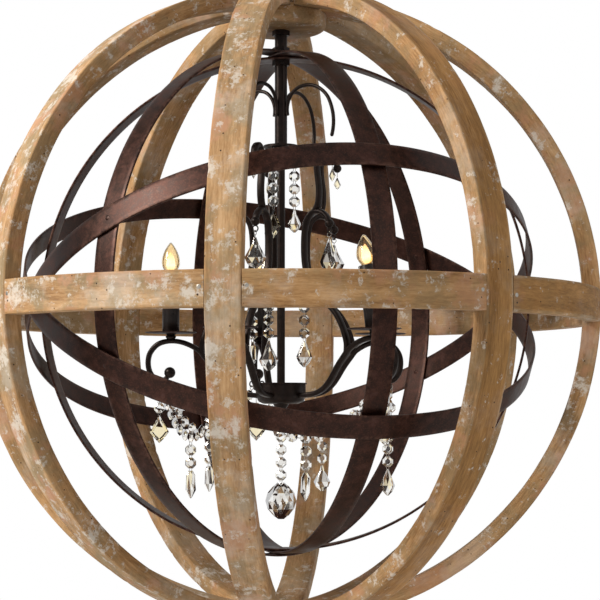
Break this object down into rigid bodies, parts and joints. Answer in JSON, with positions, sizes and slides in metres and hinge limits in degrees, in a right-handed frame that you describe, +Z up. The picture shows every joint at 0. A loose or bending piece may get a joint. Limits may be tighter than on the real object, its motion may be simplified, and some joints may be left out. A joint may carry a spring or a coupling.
{
  "type": "orb chandelier",
  "caption": "Hanging orb light: wooden globe ribs round an inner globe of iron hoops, with a scrolled candle fixture dressed in cut-crystal drops and swags.",
  "frame": {"origin": "centre of the hanging eye's hole, above the globe", "axes": "+Z up along the stem, -Y the front, +X to the right of someone facing the front"},
  "size_m": [0.8638, 0.8638, 0.9243],
  "materials": {
    "wood": "weathered, sanded and partly whitewashed, matte",
    "hoop_iron": "rust-brown patina, satin",
    "dark_iron": "dark bronze paint, satin",
    "sleeve_black": "black satin",
    "socket_shell": "plain, inside the sleeves",
    "bulb_glass": "clear, lit warm",
    "crystal": "clear cut facets on silver pins"
  },
  "bodies": {
    "fixture": {"wood_rib_1": "wood", "wood_rib_2": "wood", "wood_rib_3": "wood", "wood_rib_4": "wood", "wood_rib_5": "wood", "wood_rib_6": "wood", "wood_rib_7": "wood", "wood_rib_8": "wood", "equator_band": "wood", "top_hub": "wood", "upright_hoop_1": "hoop_iron", "upright_hoop_2": "hoop_iron", "upright_hoop_3": "hoop_iron", "tilted_hoop_1": "hoop_iron", "tilted_hoop_2": "hoop_iron", "hoop_rivets": "hoop_iron", "hanging_eye": "dark_iron", "stem_tube": "dark_iron", "stem_nuts": "dark_iron", "stem_rod": "dark_iron", "crown_plate": "dark_iron", "hub_cup": "dark_iron", "cup_lid": "dark_iron", "bottom_finial": "dark_iron", "candle_arm_1": "dark_iron", "candle_arm_2": "dark_iron", "candle_arm_3": "dark_iron", "candle_arm_4": "dark_iron", "candle_arm_5": "dark_iron", "lower_scrolls": "dark_iron", "upper_scrolls": "dark_iron", "wire_hooks": "dark_iron", "candle_necks": "dark_iron", "drip_pans": "dark_iron", "candle_sleeves": "sleeve_black", "lamp_sockets": "socket_shell", "candle_bulbs": "bulb_glass", "small_drops": "crystal"},
    "garland_1": {"garland_1": "crystal"},
    "curl_drop_1": {"curl_drop_1": "crystal"},
    "scroll_drop_1": {"scroll_drop_1": "crystal"},
    "garland_2": {"garland_2": "crystal"},
    "curl_drop_2": {"curl_drop_2": "crystal"},
    "scroll_drop_2": {"scroll_drop_2": "crystal"},
    "garland_3": {"garland_3": "crystal"},
    "curl_drop_3": {"curl_drop_3": "crystal"},
    "scroll_drop_3": {"scroll_drop_3": "crystal"},
    "garland_4": {"garland_4": "crystal"},
    "curl_drop_4": {"curl_drop_4": "crystal"},
    "scroll_drop_4": {"scroll_drop_4": "crystal"},
    "garland_5": {"garland_5": "crystal"},
    "curl_drop_5": {"curl_drop_5": "crystal"},
    "scroll_drop_5": {"scroll_drop_5": "crystal"},
    "crown_string_1": {"crown_string_1": "crystal"},
    "crown_string_2": {"crown_string_2": "crystal"},
    "inner_string_1": {"inner_string_1": "crystal"},
    "inner_string_2": {"inner_string_2": "crystal"},
    "inner_string_3": {"inner_string_3": "crystal"},
    "centre_drop": {"centre_drop": "crystal"}
  },
  "joints": [
    {"name": "garland_1_swing", "type": "hinge", "parent": "fixture", "child": "garland_1", "pos_m": [-0.03863, -0.1617, -0.5752], "axis": [0.9239, 0.3827, 0], "range_deg": [-8, 8]},
    {"name": "curl_drop_1_swing", "type": "hinge", "parent": "fixture", "child": "curl_drop_1", "pos_m": [-0.04741, -0.16534, -0.5799], "axis": [0.9613, -0.2756, 0], "range_deg": [-10, 10]},
    {"name": "scroll_drop_1_swing", "type": "hinge", "parent": "fixture", "child": "scroll_drop_1", "pos_m": [-0.0226, -0.07882, -0.3709], "axis": [0.9613, -0.2756, 0], "range_deg": [-10, 10]},
    {"name": "garland_2_swing", "type": "hinge", "parent": "fixture", "child": "garland_2", "pos_m": [0.15002, -0.0739, -0.5752], "axis": [-0.0436, 0.999, 0], "range_deg": [-8, 8]},
    {"name": "curl_drop_2_swing", "type": "hinge", "parent": "fixture", "child": "curl_drop_2", "pos_m": [0.15044, -0.08339, -0.5799], "axis": [0.4848, 0.8746, 0], "range_deg": [-10, 10]},
    {"name": "scroll_drop_2_swing", "type": "hinge", "parent": "fixture", "child": "scroll_drop_2", "pos_m": [0.07172, -0.03975, -0.3709], "axis": [0.4848, 0.8746, 0], "range_deg": [-10, 10]},
    {"name": "garland_3_swing", "type": "hinge", "parent": "fixture", "child": "garland_3", "pos_m": [0.13353, 0.09904, -0.5752], "axis": [-0.9537, 0.3007, 0], "range_deg": [-8, 8]},
    {"name": "curl_drop_3_swing", "type": "hinge", "parent": "fixture", "child": "curl_drop_3", "pos_m": [0.14259, 0.09618, -0.5799], "axis": [-0.5592, 0.829, 0], "range_deg": [-10, 10]},
    {"name": "scroll_drop_3_swing", "type": "hinge", "parent": "fixture", "child": "scroll_drop_3", "pos_m": [0.06798, 0.04585, -0.3709], "axis": [-0.5592, 0.829, 0], "range_deg": [-10, 10]},
    {"name": "garland_4_swing", "type": "hinge", "parent": "fixture", "child": "garland_4", "pos_m": [-0.06709, 0.15279, -0.5752], "axis": [-0.5736, -0.8192, 0], "range_deg": [-8, 8]},
    {"name": "curl_drop_4_swing", "type": "hinge", "parent": "fixture", "child": "curl_drop_4", "pos_m": [-0.06164, 0.16058, -0.5799], "axis": [-0.9336, -0.3584, 0], "range_deg": [-10, 10]},
    {"name": "scroll_drop_4_swing", "type": "hinge", "parent": "fixture", "child": "scroll_drop_4", "pos_m": [-0.02939, 0.07655, -0.3709], "axis": [-0.9336, -0.3584, 0], "range_deg": [-10, 10]},
    {"name": "garland_5_swing", "type": "hinge", "parent": "fixture", "child": "garland_5", "pos_m": [-0.16632, -0.00464, -0.5752], "axis": [0.5948, -0.8039, 0], "range_deg": [-8, 8]},
    {"name": "curl_drop_5_swing", "type": "hinge", "parent": "fixture", "child": "curl_drop_5", "pos_m": [-0.17197, 0.003, -0.5799], "axis": [-0.0175, -0.9998, 0], "range_deg": [-10, 10]},
    {"name": "scroll_drop_5_swing", "type": "hinge", "parent": "fixture", "child": "scroll_drop_5", "pos_m": [-0.08199, 0.00143, -0.3709], "axis": [-0.0175, -0.9998, 0], "range_deg": [-10, 10]},
    {"name": "crown_string_1_swing", "type": "hinge", "parent": "fixture", "child": "crown_string_1", "pos_m": [-0.00749, -0.01854, -0.2559], "axis": [-0.3746, -0.9272, 0], "range_deg": [-5, 5]},
    {"name": "crown_string_2_swing", "type": "hinge", "parent": "fixture", "child": "crown_string_2", "pos_m": [0.01932, -0.00518, -0.2559], "axis": [0.9659, -0.2588, 0], "range_deg": [-5, 5]},
    {"name": "inner_string_1_swing", "type": "hinge", "parent": "fixture", "child": "inner_string_1", "pos_m": [-0.01103, -0.03845, -0.4413], "axis": [0.9613, -0.2756, 0], "range_deg": [-5, 5]},
    {"name": "inner_string_2_swing", "type": "hinge", "parent": "fixture", "child": "inner_string_2", "pos_m": [0.03499, -0.01939, -0.4413], "axis": [0.4848, 0.8746, 0], "range_deg": [-5, 5]},
    {"name": "inner_string_3_swing", "type": "hinge", "parent": "fixture", "child": "inner_string_3", "pos_m": [-0.03999, 0.0007, -0.4413], "axis": [-0.0175, -0.9998, 0], "range_deg": [-5, 5]},
    {"name": "centre_drop_swing", "type": "hinge", "parent": "fixture", "child": "centre_drop", "pos_m": [0, 0, -0.6309], "axis": [0, 1, 0], "range_deg": [-8, 8]}
  ]
}
